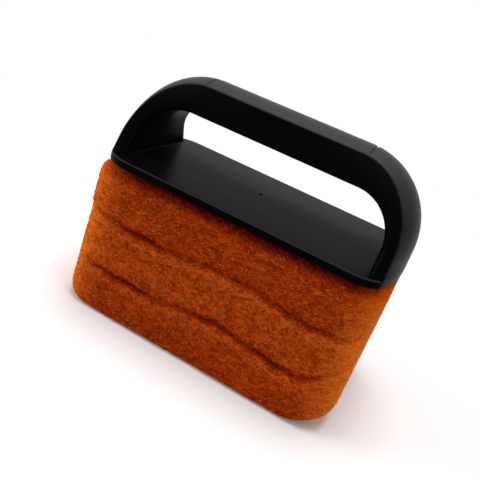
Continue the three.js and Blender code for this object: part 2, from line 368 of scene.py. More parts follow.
# %% Outlines of the plate and its pocket
CORNER_CUTS = 16
END_CUTS = 14
PROUD = 0.03
POCKET_CLEARANCE = 0.3
POCKET_CORNER = 8.3
sheet_high = np.array(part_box("hook_sheet")[1]) / MM


def round_the_plate(quadrant):
    """The quadrant's points and then their mirror images, in order round the plate."""
    back = quadrant[1:][::-1]
    flips = [(quadrant, 1, 1), (back, -1, 1), (quadrant, -1, -1), (back, 1, -1)]
    return np.concatenate([part * (sx, sy) for part, sx, sy in flips])


def plate_outline():
    """Each quadrant is an end arc and a corner arc. The bow's foot stands PROUD of the end arc, so
    that the two solids cross cleanly."""
    drop = PLATE_CORNER - FOOT_SETBACK
    reach = np.sqrt(PLATE_CORNER**2 - drop**2)
    y = np.linspace(0, foot_side - OUTER_EDGE, END_CUTS)
    angle = np.linspace(np.arctan2(reach, drop), 0, CORNER_CUTS)
    corner_x = foot_end - reach + PLATE_CORNER * np.sin(angle)
    corner_y = plate_side - PLATE_CORNER * (1 - np.cos(angle))
    end_x = foot_end + arch_rise(y, foot_side, END_CROWN) - PROUD
    return round_the_plate(np.stack([np.append(end_x, corner_x), np.append(y, corner_y)], -1))


def pocket_outline():
    """The hook sheet's rectangle with round corners, let out by the clearance. It has as many points
    as the plate's outline, so that the two can be joined."""
    x = sheet_high[0] + POCKET_CLEARANCE
    y = sheet_high[1] + POCKET_CLEARANCE
    angle = np.linspace(0, np.pi / 2, CORNER_CUTS)
    side_y = np.linspace(0, y - POCKET_CORNER, END_CUTS, endpoint=False)
    pocket_x = np.append(0 * side_y + x, x - POCKET_CORNER * (1 - np.cos(angle)))
    pocket_y = np.append(side_y, y - POCKET_CORNER * (1 - np.sin(angle)))
    return round_the_plate(np.stack([pocket_x, pocket_y], -1))


print("the plate's outline has", len(plate_outline()), "points")

# %% Base plate
RIM_CUTS = 5
FLAT_MARGIN = 0.4


def inset_outline(points, amount):
    """The outline moved inwards: each point goes against the mean normal of its two sides."""
    along = np.roll(points, -1, axis=0) - np.roll(points, 1, axis=0)
    normal = np.stack([along[:, 1], -along[:, 0]], -1)
    normal /= np.linalg.norm(normal, axis=1, keepdims=True)
    return points - normal * amount


def stacked_plate(outline, pocket, low, high, edge):
    """A flat plate with round edges: rings of the outline, inset by edge (1 - sin a) at a height
    of edge (1 - cos a) from each face. A ring inside each flat face keeps its shading flat. The
    first rings are the pocket's ceiling and wall."""
    angle = np.linspace(0, np.pi / 2, RIM_CUTS)
    climb = np.append(0, edge * (1 - np.cos(angle)))
    inset = np.append(edge + FLAT_MARGIN, edge * (1 - np.sin(angle)))
    heights = np.concatenate([low + climb, (high - climb)[::-1]])
    insets = np.concatenate([inset, inset[::-1]])
    plans = [inset_outline(pocket, FLAT_MARGIN), pocket, pocket]
    plans += [inset_outline(outline, amount) for amount in insets]
    ceiling = sheet_high[2] + POCKET_CLEARANCE
    levels = np.concatenate([[ceiling, ceiling, low], heights])
    rings = [np.column_stack([plan, 0 * plan[:, 0] + z]) for plan, z in zip(plans, levels)]
    return closed_loft(np.array(rings))


plate = stacked_plate(plate_outline(), pocket_outline(), plate_low, plate_top, PLATE_EDGE)
print("the plate has", len(plate[0]), "points")

# %% [markdown]
# ### Gate well
#
# Where plastic entered the mould, a small round hollow keeps the scar below the surface, and it
# shows as a dark dot on the plate. A painted dot would vanish in the exported mesh, so the hollow
# is cut out of the solid. The solid that cuts it is a bowl with a short cylinder above it.

# %% Gate well
GATE_PLACE = (-2.5, 2.8)
GATE_RADIUS = 1.2
GATE_DEPTH = 0.65
GATE_CUTS = 24
BOWL_ANGLES = [80, 60, 40, 20, 0]


def gate_well():
    """The solid to cut out: its radius is r cos a at a depth of d sin a, for angles a from the bottom
    of the bowl up to its rim, and then r at a height of d above the rim."""
    round_angle = np.linspace(0, 2 * np.pi, GATE_CUTS, endpoint=False)
    bowl = np.radians(BOWL_ANGLES)
    radius = np.append(GATE_RADIUS * np.cos(bowl), GATE_RADIUS)
    height = np.append(-GATE_DEPTH * np.sin(bowl), GATE_DEPTH)
    x = GATE_PLACE[0] + radius[:, None] * np.cos(round_angle)
    y = GATE_PLACE[1] + radius[:, None] * np.sin(round_angle)
    return closed_loft(np.stack([x, y, plate_top + height[:, None] + 0 * x], -1))


print("the well's solid has", len(gate_well()[0]), "points")

# %% [markdown]
# ### Painted sheen
#
# The grip's satin gloss is painted as a paler colour on its outside: a painted sheen, most on top
# and least low on the legs, and a painted highlight along the plate's top edge. How much of it a
# point gets follows from where it lies, and is stored on the mesh, where the material can read it.

# %% Painted sheen of the moulding
# How much painted sheen the grip's crown gets at its front, its middle and its back; how that
# changes with the height, as a share of the grip's; and how bright the painted highlight on the
# plate's top edge is. HAIR is what rounding may move a point by.
CROWN_SHEEN = [1.0, 0.68, 0.5]
SHEEN_HEIGHTS = [0, 0.1, 0.5, 0.8, 1]
SHEEN_SHARES = [0, 0.27, 0.2, 0.5, 1]
PLATE_EDGE_HIGHLIGHT = 0.4
HAIR = 0.02


def moulding_painted_sheen(points):
    """The painted sheen of points on the moulding, a paler colour in place of gloss. The bow's outer
    path lies where hypot(a, b) is 1, with a and b the distances past the straight and past the
    shoulder's foot as shares of the shoulder. Outside it is the crown, which gets the painted sheen,
    and it fades out over the round edge. The plate's top edge gets a painted highlight."""
    x, y, z = points[:, 0], points[:, 1], points[:, 2] - plate_top
    past_straight = np.maximum(np.abs(x) - GRIP_STRAIGHT / 2, 0) / (foot_end - GRIP_STRAIGHT / 2)
    past_foot = np.maximum(z - grip_height + GRIP_SHOULDER, 0) / GRIP_SHOULDER
    crown = np.interp(np.hypot(past_straight, past_foot), [1 - OUTER_EDGE / GRIP_SHOULDER, 1], [0, 1])
    across = np.interp(y / side_at(z), [-1, 0, 1], CROWN_SHEEN)
    paleness = crown * across * np.interp(z / grip_height, SHEEN_HEIGHTS, SHEEN_SHARES)
    # A painted highlight along the plate's top edge.
    paleness[(np.abs(y) > foot_side) & (z > HAIR - PLATE_EDGE) & (z < -HAIR)] = PLATE_EDGE_HIGHLIGHT
    return paleness


print("wear on top, front to back:", CROWN_SHEEN)

# %% One moulding
moulding = new_piece("handle_moulding", bow)
base_plate = new_piece("base_plate", plate)
well = new_piece("gate_well", gate_well())
# The moulding's tone is its painted sheen and highlight.
set_tone(moulding, moulding_painted_sheen(combine(moulding, added=base_plate, removed=well)))
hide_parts("handle")
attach(moulding, "root")
print("handle_moulding", triangles(moulding), "triangles")

# %% [markdown]
# ## Noise from a grid
#
# Matted web isn't regular, so its surface needs random but smooth change. Value noise is the
# plainest kind: random numbers on a coarse grid, with a smooth curve between them. The grid here
# wraps round in the first direction, because the pad's side has no beginning, and its cells can be
# longer in one direction, as the fibres of this web lie.

# %% Noise helpers
SEED = 7


def ease(t):
    """The smooth step t^2 (3 - 2t), which leaves 0 and arrives at 1 level, and stays there."""
    t = np.clip(t, 0, 1)
    return t * t * (3 - 2 * t)


def noise(u, v, cells_round, rows, generator):
    """Value noise at u (0 to 1, wrapping) and v (0 to 1): the four random numbers of the grid cell
    that the point lies in, blended by the eased distances from them. It runs from -1 to 1."""
    grid = generator.uniform(-1, 1, (rows + 2, cells_round))
    x = (u % 1.0) * cells_round
    y = np.clip(v, 0, 1) * rows
    column, row = x.astype(int), y.astype(int)
    fx, fy = ease(x - column), ease(y - row)
    left, right = column % cells_round, (column + 1) % cells_round
    low = grid[row, left] * (1 - fx) + grid[row, right] * fx
    high = grid[row + 1, left] * (1 - fx) + grid[row + 1, right] * fx
    return low * (1 - fy) + high * fy


sample = noise(np.linspace(0, 1, 5), np.zeros(5), 4, 1, np.random.default_rng(SEED))
print("noise once round four cells:", sample.round(2))

# %% [markdown]
# ## Pad
#
# The pad is a stack of three layers of lofty web, bonded by resin. The whole of its skin is one
# grid. One parameter runs round it and the other runs from the middle of the underside out to the
# edge, up the side and in over the top. Each point starts on a smooth block with rounded edges,
# and is then moved along the block's normal by the height of the felt there.

# %% The smooth block under the felt
PAD_CORNER = 14.5
PAD_SPREAD = 4.5
TOE_RADIUS = 14.0
HEEL_RADIUS = 7.5
EDGE_RADIUS = 3.0
RIM_RADIUS = 5.0
AROUND_CUTS = 690
SIDE_ROWS = 116
UNDER_ROWS = 12
OVER_ROWS = 5

pad_half = pad_high[0]
pad_side = handle_high[1]
pad_top = pad_high[2]
long_run = 2 * (pad_half - PAD_CORNER)
short_run = 2 * (pad_side - PAD_CORNER)
corner_run = PAD_CORNER * np.pi / 2
perimeter = 2 * (long_run + short_run) + 4 * corner_run


def outline_at(u):
    """Point and outward normal on the block's outline, a rectangle with round corners, at a share u
    of the way round it. It starts at the middle of the front and runs towards +X."""
    way = (u % 1.0) * perimeter
    marks = np.cumsum([0, long_run / 2] + [corner_run, short_run, corner_run, long_run] * 2)
    marks[-1] = np.inf
    x_in, y_in = pad_half - PAD_CORNER, pad_side - PAD_CORNER
    corners = [(x_in, -y_in), (x_in, y_in), (-x_in, y_in), (-x_in, -y_in)]
    starts = [(0, -y_in), *corners]
    courses = [(1, 0), (0, 1), (-1, 0), (0, -1), (1, 0)]
    centre = np.zeros((*np.shape(u), 2))
    normal = np.zeros_like(centre)
    for side, ((start_x, start_y), (go_x, go_y)) in enumerate(zip(starts, courses)):
        here = (way >= marks[2 * side]) & (way < marks[2 * side + 1])
        along = (way - marks[2 * side])[here]
        centre[here] = np.stack([start_x + go_x * along, start_y + go_y * along], -1)
        normal[here] = (go_y, -go_x)
    for corner, place in enumerate(corners):
        here = (way >= marks[2 * corner + 1]) & (way < marks[2 * corner + 2])
        angle = (way - marks[2 * corner + 1])[here] / PAD_CORNER + (corner - 1) * np.pi / 2
        centre[here] = place
        normal[here] = np.stack([np.cos(angle), np.sin(angle)], -1)
    return centre + PAD_CORNER * normal, normal


def edge_inset(height, radius):
    """How far in a round edge stands at a height from the face it starts from:
    r - sqrt(r^2 - (r - height)^2) up to the radius, and nothing above it."""
    short = np.clip(radius - height, 0, radius)
    return radius - np.sqrt(radius**2 - short**2)


def block_at(u, z, lift):
    """Point on the block's side at a share u round it and a height z, moved out by lift along the
    normal. The long sides spread towards the bottom, and all sides stand in at the underside and the
    rim, where the edges are round."""
    plan, normal = outline_at(u)
    rim = edge_inset(pad_top - z, RIM_RADIUS)
    toe = np.maximum(edge_inset(z, TOE_RADIUS), rim)
    heel = np.maximum(edge_inset(z, HEEL_RADIUS), rim)
    skirt = np.maximum(edge_inset(z, EDGE_RADIUS), rim) - PAD_SPREAD * (1 - z / pad_top)
    end = ease((np.abs(plan[..., 0]) - pad_half / 2) / (pad_half / 2 - PAD_CORNER))
    x = plan[..., 0] - np.where(plan[..., 0] > 0, toe, -heel) * end
    y = plan[..., 1] - skirt * np.clip(plan[..., 1] / (pad_side - PAD_CORNER), -1, 1)
    return np.stack([x + normal[..., 0] * lift, y + normal[..., 1] * lift, z + 0 * x], -1)


print(f"the pad measures {perimeter:.0f} mm round its outline")

# %% [markdown]
# ### Bonds between the layers
#
# Resin holds the layers together in two thin seams. They pull the web in, and here and there they
# gape as dark creases. They wander, because the layers are soft. So a bond is a height that
# changes along the pad, and a crease is a valley at that height.

# %% The bonds' height
LAYERS = 3
BOND_WAVE = 1.9
BOND_LENGTH = 88.0
BOND_CREST = 8.0
BOND_UPTURN = 11.0
UPTURN_START = 50.0
UPTURN_LENGTH = 26.0
# Each row: how far a torn edge wanders in mm, and how many cells of noise go round the pad
TORN_EDGE = [(0.7, 36), (0.45, 110)]


def bond_height(bond, u, x):
    """The height of a bond line: a cosine along the pad, and on it the small wander of torn web, as
    noise with cells of some 12 and 4 mm. The lowest line turns up towards the right end."""
    generator = np.random.default_rng(SEED + bond)
    torn = sum(size * noise(u, 0 * u, cells, 1, generator) for size, cells in TORN_EDGE)
    upturn = BOND_UPTURN * ease((x - UPTURN_START) / UPTURN_LENGTH) * (bond == 1)
    wave = BOND_WAVE * np.cos(2 * np.pi * (x - BOND_CREST) / BOND_LENGTH)
    return bond * pad_top / LAYERS + wave + upturn + torn


for bond in range(1, LAYERS):
    at_middle = bond_height(bond, np.zeros(1), np.zeros(1))[0]
    print(f"bond {bond} is {at_middle:.1f} mm up at the middle of the front")

# %% The creases
# Some of these paint shade into the felt's tone, in the creases and under the plate's rim, and paint
# light on the lip below each crease.
SHADE_REACH = 1.8
LIP_DROP = 3.9
LIP_REACH = 1.9
LIP_LIGHT = 0.26
RIM_PRESS = 2.0
RIM_SHADE = 1.5
RIM_REACH = 3.7
PULL_MEAN = 0.5
PULL_CHANGE = 0.3
PULL_CELLS = 24
PULL_GAPE = 0.7
PULL_ABOVE = 0.9
PULL_BELOW = 2.2
PULL_END = 2.0
PULL_FADE = 14.0
# For each bond: the middle and half the length of the stretches where its layers gape most
GAPES = {1: [(-38, 16), (6, 10), (42, 15)], 2: [(-42, 12), (49, 13)]}


def bond_crease(u, x, z):
    """How strongly a point is pulled in by the bonds, and how much painted shade it gets. Each is a
    bell curve of the distance from a line: steep above it, where the upper layer hangs over, and
    easing out below, where a lip follows that gets painted light. The strength comes and goes along
    the line, and is greatest where the layers gape. The plate's rim presses the top of the pad in,
    all round, and a painted shade lies under it."""
    # The rim's press is real; its shade is painted shade under the plate.
    rim = bell((pad_top - z) / RIM_REACH)
    depth, shade = RIM_PRESS * rim, RIM_SHADE * rim
    for bond in range(1, LAYERS):
        generator = np.random.default_rng(SEED + 10 + bond)
        strength = PULL_MEAN + PULL_CHANGE * noise(u, 0 * u, PULL_CELLS, 1, generator)
        for middle, half in GAPES[bond]:
            strength = strength + PULL_GAPE * bell((x - middle) / half)
        strength = strength * ease((pad_half - PULL_END - np.abs(x)) / PULL_FADE)
        away = z - bond_height(bond, u, x)
        reach = np.where(away > 0, PULL_ABOVE, PULL_BELOW)
        depth = depth + strength * bell(away / reach)
        # Painted shade in the crease, and painted light on the lip below it.
        shade = shade + strength * bell(away / SHADE_REACH)
        shade = shade - LIP_LIGHT * bell((away + LIP_DROP) / LIP_REACH)
    return depth, shade


print("gaping stretches:", GAPES)

# %% [markdown]
# ### Felt
#
# The web is matted: it swells and sinks over a few centimetres, and close up it is all short
# strokes. Layers of noise from broad to fine add up to that, with cells longer along the pad than
# up it, because the fibres were laid that way. Raised felt is paler, partly its grain and partly
# painted light, and a crease is dark with painted shade, so each point's tone comes from the same
# noise as its height.

# %% The tone of a layer and the cut ends
LAYER_TONES = [-0.01, 0.035, -0.035]
FOOT_SHADE = 0.04
FOOT_HEIGHT = 9.0
END_START = 14.0
END_BLEND = 12.0


def layer_tone(u, x, z):
    """Each layer has its own tone: the number of bond lines below a point says which layer it lies in.
    Towards the pad's foot a painted shade makes the web a little darker."""
    layer = sum((z > bond_height(bond, u, x)).astype(int) for bond in range(1, LAYERS))
    # Painted shade towards the foot.
    foot = 1 - ease((z - FOOT_HEIGHT) / FOOT_HEIGHT)
    return np.array(LAYER_TONES)[layer] - FOOT_SHADE * foot


def cut_end(x):
    """How far round the corner a point lies: 0 on the long sides and 1 on the cut ends."""
    return ease((np.abs(x) - pad_half + END_START) / END_BLEND)


print("the cut ends begin", pad_half - END_START, "mm from the middle")

# %% The height of the felt
# Each row: height of the bumps in mm, their length along the pad, and their height on it
FELT_BUMPS = [(0.28, 24.0, 9.0), (0.08, 8.0, 4.0), (0.095, 3.4, 2.1), (0.24, 1.7, 1.25)]
STROKE_LENGTH = 5.0
STROKE_TONE = 0.26
SHADE_TONE = 0.42
MEAN_TONE = 0.37
BOND_DEPTH = 1.15
END_SMOOTH = 0.55
END_STEP = 0.7
STEP_BLEND = 0.7
WARP = 0.004
WARP_RISE = 6
WARP_CELLS = (60, 14)


def felt_height(u, x, z):
    """Height of the felt over the block, and its tone. The height is layers of noise less the
    creases at the bonds. It is quieter at the cut ends, and at the left one the top layer stands
    out by END_STEP. The tone is MEAN_TONE on plain felt, higher where it is raised, partly grain
    and partly painted light, and low in a crease and under the plate's rim, as painted shade."""
    generator = np.random.default_rng(SEED + 20)
    warp = WARP * noise(u, z / pad_top, *WARP_CELLS, generator)
    end = cut_end(x)
    total, strokes = 0 * z, 0 * z
    for height, length, rise in FELT_BUMPS:
        cells, rows = round(perimeter / length), round(pad_top / rise)
        bumps = height * noise(u + warp, z / pad_top + WARP_RISE * warp, cells, rows, generator)
        total = total + bumps
        strokes = strokes + bumps * (length < STROKE_LENGTH)
    total = total * (1 - END_SMOOTH * end)
    top_layer = ease((z - bond_height(LAYERS - 1, u, x)) / STEP_BLEND)
    total = total + END_STEP * end * (x < 0) * top_layer
    pull, shade = bond_crease(u, x, z)
    strokes = STROKE_TONE * strokes * (1 - END_SMOOTH * end)
    # Painted light on raised felt, and painted shade in creases and under the plate's rim.
    tone = MEAN_TONE + layer_tone(u, x, z) + strokes - SHADE_TONE * shade
    return total - BOND_DEPTH * pull, tone


print("bumps from", FELT_BUMPS[0][1], "down to", FELT_BUMPS[-1][1], "mm long")

# %% The pad's skin
SKIN_SINK = 0.45
FACE_FADE = 2.5
FACE_TONE = 0.5
HUB = 0.03


def on_felt(u, z, rise=0):
    """A point that stands off the felt by rise, and the felt's tone there. The felt lies SKIN_SINK
    deeper than the block, and flattens out towards both faces."""
    fade = ease(np.minimum(z, pad_top - z) / FACE_FADE)
    lift, tone = felt_height(u, outline_at(u)[0][..., 0], z)
    return block_at(u, z, lift * fade - SKIN_SINK + rise), tone


def pad_skin():
    """The grid of the whole skin. Rows run from a small hub in the underside outwards, up the side
    with a row about every 0.6 mm, and in over the top to a hub like the first."""
    u = np.linspace(0, 1, AROUND_CUTS, endpoint=False)[None]
    z = np.linspace(0, pad_top, SIDE_ROWS)[:, None]
    side, tone = on_felt(u + 0 * z, z + 0 * u)
    inward = np.linspace(HUB, 1, UNDER_ROWS, endpoint=False)[:, None, None]
    under = np.concatenate([side[:1, :, :2] * inward, 0 * side[:1, :, 2:] * inward], -1)
    shrink = np.linspace(1, HUB, OVER_ROWS + 1)[1:, None, None]
    over = np.concatenate([side[-1:, :, :2] * shrink, side[-1:, :, 2:] + 0 * shrink], -1)
    tone = np.concatenate([FACE_TONE + 0 * under[..., 0], tone, FACE_TONE + 0 * over[..., 0]])
    return np.concatenate([under, side, over]), tone


skin, skin_tone = pad_skin()
web = new_piece("web", closed_loft(skin), tone=skin_tone)
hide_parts("pad")
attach(web, "root")
print("web", triangles(web), "triangles")

# %% [markdown]
# ### Loose fibres
#
# Close up, the web is a tangle of curled nylon fibres, each about as thick as a bristle. Drawing
# every one would take millions, so the skin carries the mass of them, and twenty thousand are drawn
# where they show: on top. Each is a short tube with three sides. Its middle line is a curved path
# over the skin, lifted off it in a low arch.

# %% Middle lines of fibres
# How a fibre bends and ripples; the heights where it may start, and that it may reach; how deep its
# ends are tucked in; how far its arch, its tilt, and the two together lift it; and its own tone,
# mostly above the felt's, partly as a painted highlight
BEND_LENGTH = 6
FIBRE_BEND = 0.09
FIBRE_WAVES = 4
FIBRE_RIPPLE = 0.12
FIBRE_PLACES = (0.8, pad_top - 0.6)
FIBRE_SPACE = (0.5, pad_top - 0.5)
FIBRE_TUCK = 0.22
FIBRE_ARCH = (0.15, 0.75)
FIBRE_TILT = (-0.2, 0.3)
FIBRE_RISE = (-0.35, 0.8)
FIBRE_TONES = (-0.15, 0.45)


def fibre_lines(count, points, lengths, lean, curl, generator):
    """Middle lines of fibres as an array (fibre, point, 3). A line starts anywhere on the pad's
    side, leans a little from the level, bends to one side as the square of the distance from its
    middle, ripples, and rises off the felt as 1 - t^2, with both ends tucked in. On the cut ends
    it lies flatter."""
    t = np.linspace(-1, 1, points)[None]
    draw = lambda low, high: generator.uniform(low, high, (count, 1))
    length = draw(*lengths)
    angle = generator.normal(0, lean, (count, 1))
    bend = generator.normal(0, FIBRE_BEND, (count, 1)) * curl
    ripple = FIBRE_RIPPLE * curl * np.sin(FIBRE_WAVES * t + draw(0, 2 * np.pi))
    along = length / 2 * t
    across = bend * length / BEND_LENGTH * t**2 + ripple
    u = draw(0, 1) + (along * np.cos(angle) - across * np.sin(angle)) / perimeter
    z = draw(*FIBRE_PLACES) + along * np.sin(angle) + across * np.cos(angle)
    rise = -FIBRE_TUCK + draw(*FIBRE_ARCH) * (1 - t**2) + draw(*FIBRE_TILT) * t
    rise = np.clip(rise, *FIBRE_RISE) * (1 - END_SMOOTH * cut_end(outline_at(u)[0][..., 0]))
    place, tone = on_felt(u, np.clip(z, *FIBRE_SPACE), rise)
    # The fibre's tone is raised over the felt's, partly as a painted highlight.
    return place, tone + draw(*FIBRE_TONES)


print("fibres rise at most", FIBRE_RISE[1], "mm off the felt")

# %% Tubes along the lines
FIBRE_TAPER = 0.35
FIBRE_SIDES = 3
ASIDE = (0.36, 0.48, 0.8)


def fibre_tubes(name, lines, tone, radius):
    """Thin tubes with three sides along the lines: each ring stands square to the line, on two
    directions from cross products with ASIDE, which few fibres follow. The tube narrows towards
    both ends, where a triangle closes it."""
    count, points = lines.shape[:2]
    along = np.gradient(lines, axis=1)
    along /= np.linalg.norm(along, axis=2, keepdims=True)
    first = np.cross(along, ASIDE)
    first /= np.linalg.norm(first, axis=2, keepdims=True)
    second = np.cross(along, first)
    taper = radius * (1 - FIBRE_TAPER * np.linspace(-1, 1, points) ** 4)[None, :, None]
    corners = [first * np.cos(a) + second * np.sin(a) for a in np.radians([0, 120, 240])]
    rings = np.stack([lines + taper * corner for corner in corners], 2)
    whole = tube_faces(points, FIBRE_SIDES)
    size = FIBRE_SIDES * points
    start = (np.arange(count) * size)[:, None, None]
    ends = np.array([[2, 1, 0], [size - 3, size - 2, size - 1]])
    faces = [(whole[None] + start).reshape(-1, 4), (ends[None] + start).reshape(-1, 3)]
    tones = np.repeat(tone[..., None], FIBRE_SIDES, axis=2)
    return new_piece(name, (rings.reshape(-1, 3), faces), tone=tones)


print("a fibre's end is", 1 - FIBRE_TAPER, "of its radius at the middle")

# %% Fibres
# Each row: name, how many, points along each, radius in mm, shortest and longest, how far they
# lean from the level in radians, and how much they curl
FIBRE_GROUPS = [
    ("fibres_long", 5600, 6, 0.15, (2.2, 5.0), 0.4, 1.5),
    ("fibres_curled", 5600, 6, 0.17, (1.6, 3.6), 0.8, 2.5),
    ("fibres_short", 9000, 4, 0.2, (0.9, 2.4), 0.8, 1.2),
]

draws = np.random.default_rng(SEED)
fibres = []
for name, count, points, radius, lengths, lean, curl in FIBRE_GROUPS:
    lines, tone = fibre_lines(count, points, lengths, lean, curl, draws)
    group = fibre_tubes(name, lines, tone, radius)
    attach(group, "root")
    fibres.append(group)
    print(name, triangles(group), "triangles")

# %% [markdown]
# ## Materials
#
# A material is a small graph of nodes. These helpers add a node and link its inputs, so that each
# material below reads as a short list of what it is made of.

# %% Node helpers


class Graph:
    """The nodes of a material or a world, its owner, and the shader that they drive."""

    def __init__(self, owner, shader="Principled BSDF"):
        owner.use_nodes = True
        self.owner, self.tree = owner, owner.node_tree
        self.shader = self.tree.nodes[shader]
        self.place = self.add("ShaderNodeTexCoord").outputs["Object"]

    def feed(self, node, values):
        """Gives each of a node's inputs its value, or a link where that is another's output."""
        for socket, value in values.items():
            if isinstance(value, bpy.types.NodeSocket):
                self.tree.links.new(value, node.inputs[socket])
            else:
                node.inputs[socket].default_value = value

    def add(self, kind, **values):
        """A new node, with its properties and its inputs set."""
        node = self.tree.nodes.new(kind)
        for key, value in values.items():
            if hasattr(node, key):
                setattr(node, key, value)
            else:
                self.feed(node, {key: value})
        return node

    def axis(self, source, name):
        """One of the three numbers of a place or a direction."""
        return self.add("ShaderNodeSeparateXYZ", Vector=source).outputs[name]

    def noise(self, scale, stretch=(1, 1, 1), detail=3.0, roughness=0.55, curl=0.0):
        """Noise on object coordinates, scaled along each axis and curled by distortion."""
        mapping = self.add("ShaderNodeMapping", Vector=self.place, Scale=stretch)
        texture = self.add("ShaderNodeTexNoise", Vector=mapping.outputs["Vector"], Scale=scale)
        self.feed(texture, {"Detail": detail, "Roughness": roughness, "Distortion": curl})
        return texture.outputs["Fac"]

    def ramp(self, source, stops):
        """Colours along a scalar: each stop is a place and a colour."""
        node = self.add("ShaderNodeValToRGB", Fac=source)
        elements = node.color_ramp.elements
        for element, stop in ((elements[0], stops[0]), (elements[1], stops[-1])):
            element.position, element.color = stop
        for place, tint in stops[1:-1]:
            elements.new(place).color = tint
        return node.outputs["Color"]

    def span(self, source, low, high, to_low=0.0, to_high=1.0):
        """The source moved from one range of numbers to another, and held inside it."""
        node = self.add("ShaderNodeMapRange", Value=source)
        self.feed(node, {"From Min": low, "From Max": high, "To Min": to_low, "To Max": to_high})
        return node.outputs["Result"]

    def mix(self, factor, first, second, blend="MIX"):
        """Blend of two colours by a factor."""
        node = self.add("ShaderNodeMix", data_type="RGBA", blend_type=blend)
        self.feed(node, {0: factor, 6: first, 7: second})
        return node.outputs[2]

    def calculate(self, operation, *values):
        """A sum of arithmetic."""
        node = self.add("ShaderNodeMath", operation=operation)
        self.feed(node, dict(enumerate(values)))
        return node.outputs[0]

    def bump(self, height, distance, strength=1.0):
        """Relief of the height, distance metres deep, on the shader's normal."""
        node = self.add("ShaderNodeBump", Height=height, Distance=distance, Strength=strength)
        self.feed(self.shader, {"Normal": node.outputs["Normal"]})


def colour(red, green, blue):
    """Linear colour, with an alpha of 1, from the usual 0 to 255 numbers."""
    share = np.array([red, green, blue]) / 255
    linear = np.where(share <= 0.04045, share / 12.92, ((share + 0.055) / 1.055) ** 2.4)
    return (*linear.tolist(), 1.0)


print("a grey of 128 is", round(colour(128, 128, 128)[0], 3), "in linear light")

# %% [markdown]
# ### Abrasive web
#
# Nylon fibres coated with orange-brown resin and grit: matt. The mesh's tone drives the colour: a
# deep rust red where the felt lies in its own shade, as painted shade, and a lighter orange on the
# raised fibres, partly as painted light. The ends, where the block was cut, are smoother and
# lighter, partly in their own colour and partly as painted light. Light goes a millimetre into
# such a tangle and comes out redder, so the shader scatters a part of it under the surface.

# %% Abrasive web
# The darkest colour is a painted shadow under the plate's rim.
WEB_PLATE_SHADOW = colour(58, 11, 6)
PLATE_SHADOW_SPAN = (-0.26, -0.08)
WEB_DEEP = colour(114, 23, 1)
WEB_SHADE = colour(149, 45, 3)
WEB_MIDDLE = colour(177, 67, 11)
WEB_RAISED = colour(208, 107, 48)
WEB_STOPS = [(0.0, WEB_DEEP), (0.3, WEB_SHADE), (0.5, WEB_MIDDLE), (0.85, WEB_RAISED)]
# The cut ends' orange, partly their own colour and partly painted light.
END_SHADE = colour(200, 76, 9)
END_RAISED = colour(246, 140, 48)
END_SPAN = (0.056, 0.072)
END_SHIFT = 0.0035
END_SHARE = 0.8
END_GRAIN = 0.35
NOISE_MIDDLE = (0.3, 0.7)
WEB_GRAIN = 0.18
FIBRE_GRAIN = 0.12
PATCHES = 0.03
WEB_FINISH = {
    "Roughness": 0.9,
    "Specular IOR Level": 0.02,
    "Subsurface Weight": 0.35,
    "Subsurface Radius": (1.0, 0.35, 0.12),
    "Subsurface Scale": 0.0012,
}


def web_material(name, grain):
    """Colour by the mesh's tone, which carries painted light and shade, with grain and patches on it;
    darkest under the plate's rim, as a painted shadow; and turned towards the cut ends' orange,
    partly painted light, by the distance from the middle, with the relief of fine fibres."""
    graph = Graph(bpy.data.materials.new(name))
    tone = graph.add("ShaderNodeAttribute", attribute_name="tone").outputs["Fac"]
    shifted = graph.calculate("SUBTRACT", graph.axis(graph.place, "X"), END_SHIFT)
    reach = graph.calculate("ABSOLUTE", shifted)
    fine = graph.noise(520, (0.8, 0.8, 1.5), detail=2, roughness=0.5, curl=1.2)
    strokes = graph.span(fine, *NOISE_MIDDLE, -grain, grain)
    strokes = graph.calculate("MULTIPLY", strokes, graph.span(reach, *END_SPAN, 1.0, END_GRAIN))
    broad = graph.noise(55, (0.7, 0.7, 1.2), detail=2)
    patches = graph.span(broad, *NOISE_MIDDLE, -PATCHES, PATCHES)
    tone = graph.calculate("ADD", graph.calculate("ADD", tone, strokes), patches)
    # Painted shadow where the tone drops lowest, under the plate's rim.
    plate_shadow = graph.span(tone, *PLATE_SHADOW_SPAN, 1.0, 0.0)
    body = graph.mix(plate_shadow, graph.ramp(tone, WEB_STOPS), WEB_PLATE_SHADOW)
    # Turning to the ends' orange, partly painted light.
    end = graph.span(reach, *END_SPAN, 0.0, END_SHARE)
    cut_end = graph.ramp(tone, [(0.15, END_SHADE), (0.75, END_RAISED)])
    graph.feed(graph.shader, {"Base Color": graph.mix(end, body, cut_end), **WEB_FINISH})
    relief = graph.noise(900, (0.8, 0.8, 1.4), detail=4, roughness=0.7)
    graph.bump(relief, distance=0.001, strength=0.28)
    return graph.owner


web.data.materials.append(web_material("abrasive_web", WEB_GRAIN))
fibre_material = web_material("abrasive_fibre", FIBRE_GRAIN)
for group in fibres:
    group.data.materials.append(fibre_material)
print("web materials on", 1 + len(fibres), "pieces")

# %% [markdown]
# ### Moulded plastic
#
# The handle is black polypropylene: satin, with the faint grain of the mould's steel. Its gloss is
# painted as paler colour: the painted sheen and the edge's painted highlight come with the mesh,
# and a painted light on the back of upward faces is found from the surface's own direction.

# %% Moulded plastic
PLASTIC_BLACK = colour(1, 2, 1)
# Painted sheen, and then painted light for the back of upward faces.
PLASTIC_SHEEN = colour(61, 63, 61)
PLASTIC_LIT_BACK = colour(35, 37, 36)
LIT_BACK_SPAN = (-0.003, 0.012)
UPWARD_FACING = (0.85, 0.97)
STREAK_WEAR = 0.06
STREAK_SPAN = (0.35, 0.65)
PLASTIC_ROUGHNESS = (0.32, 0.38)
PLASTIC_FINISH = {"Specular IOR Level": 0.014, "Sheen Weight": 0.007, "Sheen Roughness": 0.35}


